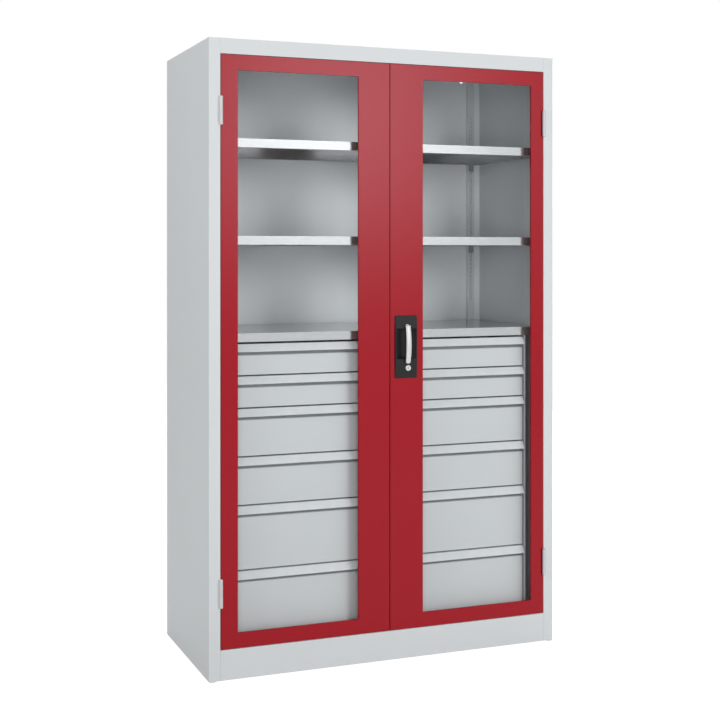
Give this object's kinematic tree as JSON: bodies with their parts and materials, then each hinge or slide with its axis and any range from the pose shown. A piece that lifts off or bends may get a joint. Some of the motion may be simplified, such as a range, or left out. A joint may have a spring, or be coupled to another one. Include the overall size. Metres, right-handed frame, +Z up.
{
  "type": "heavy-duty cabinet",
  "caption": "Upright steel workshop cabinet with glazed hinged doors, galvanised shelves above and two columns of drawers below, closed by a swing-lever rod lock.",
  "frame": {"origin": "on the floor under the middle of the carcass", "axes": "+X to the right seen from the front, +Y to the back, +Z up; the doors face -Y"},
  "size_m": [1.2, 0.5223, 1.95],
  "materials": {
    "carcass_grey": "satin powder coat",
    "ruby_red": "satin powder coat",
    "drawer_grey": "satin powder coat",
    "zinc_steel": "galvanised",
    "hinge_grey": "satin",
    "clear_pane": "clear",
    "dish_black": "fine-textured black",
    "lever_silver": "matt chrome"
  },
  "bodies": {
    "carcass": {"left_side_panel": "carcass_grey", "right_side_panel": "carcass_grey", "top_panel": "carcass_grey", "head_rail": "carcass_grey", "plinth": "carcass_grey", "floor_panel": "carcass_grey", "back_panel": "carcass_grey", "corner_feet": "carcass_grey", "shelf_uprights": "carcass_grey", "upper_shelf": "zinc_steel", "middle_shelf": "zinc_steel", "lower_shelf": "zinc_steel", "shelf_clips": "zinc_steel", "left_drawer_frame": "drawer_grey", "right_drawer_frame": "drawer_grey", "centre_partition": "drawer_grey", "left_runners": "zinc_steel", "right_runners": "zinc_steel", "frame_knuckles": "hinge_grey", "hinge_pins": "zinc_steel"},
    "left_door": {"left_door_panel": "ruby_red", "left_window_pane": "clear_pane", "left_window_retainer": "ruby_red", "left_door_knuckles": "hinge_grey"},
    "right_door": {"right_door_panel": "ruby_red", "right_window_pane": "clear_pane", "right_window_retainer": "ruby_red", "right_door_knuckles": "hinge_grey", "handle_dish": "dish_black", "rod_guides": "zinc_steel"},
    "handle_drive": {"handle_spindle": "lever_silver", "drive_disc": "zinc_steel"},
    "handle_lever": {"handle_lever": "lever_silver"},
    "key_lock": {"lock_cylinder": "lever_silver"},
    "upper_rod": {"upper_lock_rod": "zinc_steel"},
    "lower_rod": {"lower_lock_rod": "zinc_steel"},
    "left_drawer_1": {"left_drawer_1_front": "drawer_grey", "left_drawer_1_tray": "drawer_grey"},
    "left_drawer_2": {"left_drawer_2_front": "drawer_grey", "left_drawer_2_tray": "drawer_grey"},
    "left_drawer_3": {"left_drawer_3_front": "drawer_grey", "left_drawer_3_tray": "drawer_grey"},
    "left_drawer_4": {"left_drawer_4_front": "drawer_grey", "left_drawer_4_tray": "drawer_grey"},
    "left_drawer_5": {"left_drawer_5_front": "drawer_grey", "left_drawer_5_tray": "drawer_grey"},
    "left_drawer_6": {"left_drawer_6_front": "drawer_grey", "left_drawer_6_tray": "drawer_grey"},
    "right_drawer_1": {"right_drawer_1_front": "drawer_grey", "right_drawer_1_tray": "drawer_grey"},
    "right_drawer_2": {"right_drawer_2_front": "drawer_grey", "right_drawer_2_tray": "drawer_grey"},
    "right_drawer_3": {"right_drawer_3_front": "drawer_grey", "right_drawer_3_tray": "drawer_grey"},
    "right_drawer_4": {"right_drawer_4_front": "drawer_grey", "right_drawer_4_tray": "drawer_grey"},
    "right_drawer_5": {"right_drawer_5_front": "drawer_grey", "right_drawer_5_tray": "drawer_grey"},
    "right_drawer_6": {"right_drawer_6_front": "drawer_grey", "right_drawer_6_tray": "drawer_grey"}
  },
  "joints": [
    {"name": "left_door_swing", "type": "hinge", "parent": "carcass", "child": "left_door", "pos_m": [-0.563, -0.2558, 1], "axis": [0, 0, -1], "range_deg": [0, 180]},
    {"name": "right_door_swing", "type": "hinge", "parent": "carcass", "child": "right_door", "pos_m": [0.563, -0.2558, 1], "axis": [0, 0, 1], "range_deg": [0, 180]},
    {"name": "handle_turn", "type": "hinge", "parent": "right_door", "child": "handle_drive", "pos_m": [0.0585, -0.25, 1.065], "axis": [0, -1, 0], "range_deg": [0, 90]},
    {"name": "handle_lift", "type": "hinge", "parent": "handle_drive", "child": "handle_lever", "pos_m": [0.0585, -0.2608, 1.065], "axis": [-1, 0, 0], "range_deg": [0, 20]},
    {"name": "lock_turn", "type": "hinge", "parent": "right_door", "child": "key_lock", "pos_m": [0.061, -0.25, 0.931], "axis": [0, -1, 0], "range_deg": [0, 90]},
    {"name": "upper_rod_slide", "type": "slide", "parent": "right_door", "child": "upper_rod", "axis": [0, 0, 1], "range_m": [0, 0.0184]},
    {"name": "lower_rod_slide", "type": "slide", "parent": "right_door", "child": "lower_rod", "axis": [0, 0, -1], "range_m": [0, 0.0184]},
    {"name": "left_drawer_1_slide", "type": "slide", "parent": "carcass", "child": "left_drawer_1", "axis": [0, -1, 0], "range_m": [0, 0.28]},
    {"name": "left_drawer_2_slide", "type": "slide", "parent": "carcass", "child": "left_drawer_2", "axis": [0, -1, 0], "range_m": [0, 0.28]},
    {"name": "left_drawer_3_slide", "type": "slide", "parent": "carcass", "child": "left_drawer_3", "axis": [0, -1, 0], "range_m": [0, 0.28]},
    {"name": "left_drawer_4_slide", "type": "slide", "parent": "carcass", "child": "left_drawer_4", "axis": [0, -1, 0], "range_m": [0, 0.28]},
    {"name": "left_drawer_5_slide", "type": "slide", "parent": "carcass", "child": "left_drawer_5", "axis": [0, -1, 0], "range_m": [0, 0.28]},
    {"name": "left_drawer_6_slide", "type": "slide", "parent": "carcass", "child": "left_drawer_6", "axis": [0, -1, 0], "range_m": [0, 0.28]},
    {"name": "right_drawer_1_slide", "type": "slide", "parent": "carcass", "child": "right_drawer_1", "axis": [0, -1, 0], "range_m": [0, 0.28]},
    {"name": "right_drawer_2_slide", "type": "slide", "parent": "carcass", "child": "right_drawer_2", "axis": [0, -1, 0], "range_m": [0, 0.28]},
    {"name": "right_drawer_3_slide", "type": "slide", "parent": "carcass", "child": "right_drawer_3", "axis": [0, -1, 0], "range_m": [0, 0.28]},
    {"name": "right_drawer_4_slide", "type": "slide", "parent": "carcass", "child": "right_drawer_4", "axis": [0, -1, 0], "range_m": [0, 0.28]},
    {"name": "right_drawer_5_slide", "type": "slide", "parent": "carcass", "child": "right_drawer_5", "axis": [0, -1, 0], "range_m": [0, 0.28]},
    {"name": "right_drawer_6_slide", "type": "slide", "parent": "carcass", "child": "right_drawer_6", "axis": [0, -1, 0], "range_m": [0, 0.28]}
  ],
  "couplings": [
    {"joint": "upper_rod_slide", "follows": "handle_turn", "m_per_rad": 0.0117},
    {"joint": "lower_rod_slide", "follows": "handle_turn", "m_per_rad": 0.0117},
    {"joint": "left_drawer_1_slide", "follows": "left_door_swing", "m_per_rad": 0.0891},
    {"joint": "left_drawer_2_slide", "follows": "left_door_swing", "m_per_rad": 0.0891},
    {"joint": "left_drawer_3_slide", "follows": "left_door_swing", "m_per_rad": 0.0891},
    {"joint": "left_drawer_4_slide", "follows": "left_door_swing", "m_per_rad": 0.0891},
    {"joint": "left_drawer_5_slide", "follows": "left_door_swing", "m_per_rad": 0.0891},
    {"joint": "left_drawer_6_slide", "follows": "left_door_swing", "m_per_rad": 0.0891},
    {"joint": "right_drawer_1_slide", "follows": "right_door_swing", "m_per_rad": 0.0891},
    {"joint": "right_drawer_2_slide", "follows": "right_door_swing", "m_per_rad": 0.0891},
    {"joint": "right_drawer_3_slide", "follows": "right_door_swing", "m_per_rad": 0.0891},
    {"joint": "right_drawer_4_slide", "follows": "right_door_swing", "m_per_rad": 0.0891},
    {"joint": "right_drawer_5_slide", "follows": "right_door_swing", "m_per_rad": 0.0891},
    {"joint": "right_drawer_6_slide", "follows": "right_door_swing", "m_per_rad": 0.0891}
  ]
}
